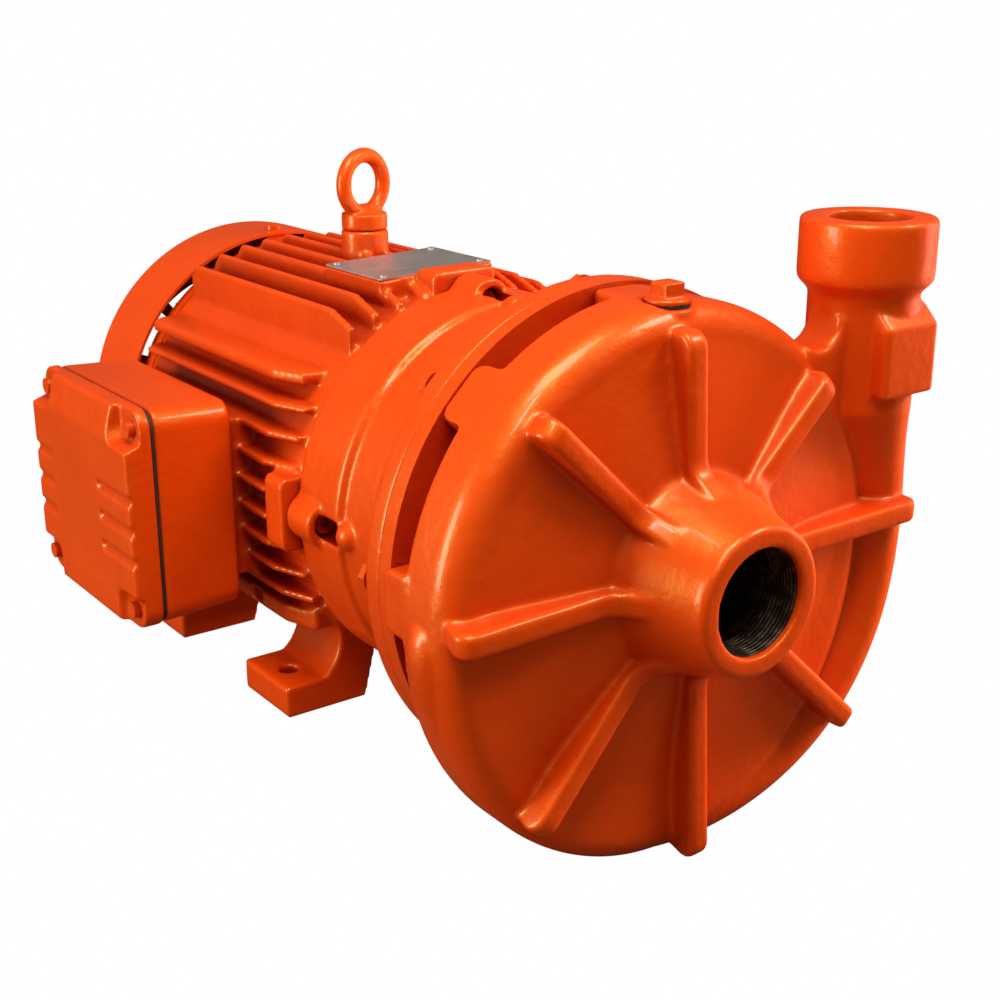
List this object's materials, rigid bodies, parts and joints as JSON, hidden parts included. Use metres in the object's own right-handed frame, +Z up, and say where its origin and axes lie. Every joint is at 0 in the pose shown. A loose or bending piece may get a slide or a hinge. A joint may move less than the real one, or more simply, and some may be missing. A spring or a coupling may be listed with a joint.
{
  "type": "fire pump",
  "caption": "Close-coupled fire pump: ribbed volute casing with threaded suction and upright discharge on a finned, foot-mounted electric motor with terminal box, all in orange-red enamel.",
  "frame": {"origin": "centre of the four foot holes, on the plane that the feet stand on", "axes": "+Y along the shaft from the suction to the fan cover, +Z up, +X to the right seen from the suction side"},
  "size_m": [0.3828, 0.5575, 0.3642],
  "materials": {
    "enamel": "gloss orange-red enamel sprayed over cast iron",
    "sheet_enamel": "gloss orange-red enamel on sheet steel",
    "stainless": "brushed stainless",
    "machined_steel": "turned and ground",
    "hardened_steel": "ground and polished",
    "lamination": "stacked sheet",
    "cast_aluminium": "die cast",
    "bronze": "cast bronze",
    "brass": "turned",
    "winding": "varnished copper wire and tape",
    "rubber": "moulded",
    "fibre": "pressed gasket sheet",
    "ceramic": "lapped ceramic",
    "carbon": "lapped carbon",
    "moulded_plastic": "moulded",
    "fan_plastic": "moulded"
  },
  "bodies": {
    "stator_side": {"volute_casing": "enamel", "priming_plug": "enamel", "priming_plug_washer": "fibre", "casing_o_ring": "rubber", "back_cover": "enamel", "casing_bolts": "enamel", "wear_ring": "bronze", "seal_seat": "ceramic", "seal_seat_ring": "rubber", "motor_bracket": "enamel", "bracket_screws": "enamel", "motor_frame": "enamel", "stator_core": "lamination", "stator_windings": "winding", "front_bearing_outer": "hardened_steel", "rear_bearing_outer": "hardened_steel", "wave_washer": "machined_steel", "rear_end_shield": "enamel", "rear_shield_screws": "machined_steel", "fan_cover": "sheet_enamel", "fan_cover_screws": "enamel", "eyebolt": "enamel", "nameplate": "stainless", "nameplate_rivets": "stainless", "terminal_box": "enamel", "terminal_box_gasket": "fibre", "terminal_box_cover": "enamel", "terminal_cover_gasket": "fibre", "terminal_cover_screws": "enamel", "terminal_block": "moulded_plastic", "terminal_studs": "brass", "cable_entry_plug": "moulded_plastic"},
    "rotor": {"shaft": "machined_steel", "rotor_core": "lamination", "rotor_cage": "cast_aluminium", "impeller": "bronze", "impeller_key": "machined_steel", "impeller_nut": "stainless", "impeller_washer": "stainless", "seal_head": "carbon", "seal_bellows": "rubber", "slinger": "rubber", "front_bearing_inner": "hardened_steel", "rear_bearing_inner": "hardened_steel", "rear_seal_ring": "rubber", "fan": "fan_plastic", "fan_circlip": "machined_steel"},
    "front_ball_set": {"front_bearing_balls": "hardened_steel", "front_bearing_cage": "machined_steel"},
    "rear_ball_set": {"rear_bearing_balls": "hardened_steel", "rear_bearing_cage": "machined_steel"}
  },
  "joints": [
    {"name": "shaft_spin", "type": "hinge", "parent": "stator_side", "child": "rotor", "pos_m": [0, 0, 0.132], "axis": [0, 1, 0], "continuous": true},
    {"name": "front_cage_spin", "type": "hinge", "parent": "stator_side", "child": "front_ball_set", "pos_m": [0, -0.1169, 0.132], "axis": [0, 1, 0], "continuous": true},
    {"name": "rear_cage_spin", "type": "hinge", "parent": "stator_side", "child": "rear_ball_set", "pos_m": [0, 0.1095, 0.132], "axis": [0, 1, 0], "continuous": true}
  ],
  "couplings": [
    {"joint": "front_cage_spin", "follows": "shaft_spin", "ratio": 0.3846},
    {"joint": "rear_cage_spin", "follows": "shaft_spin", "ratio": 0.3963}
  ]
}
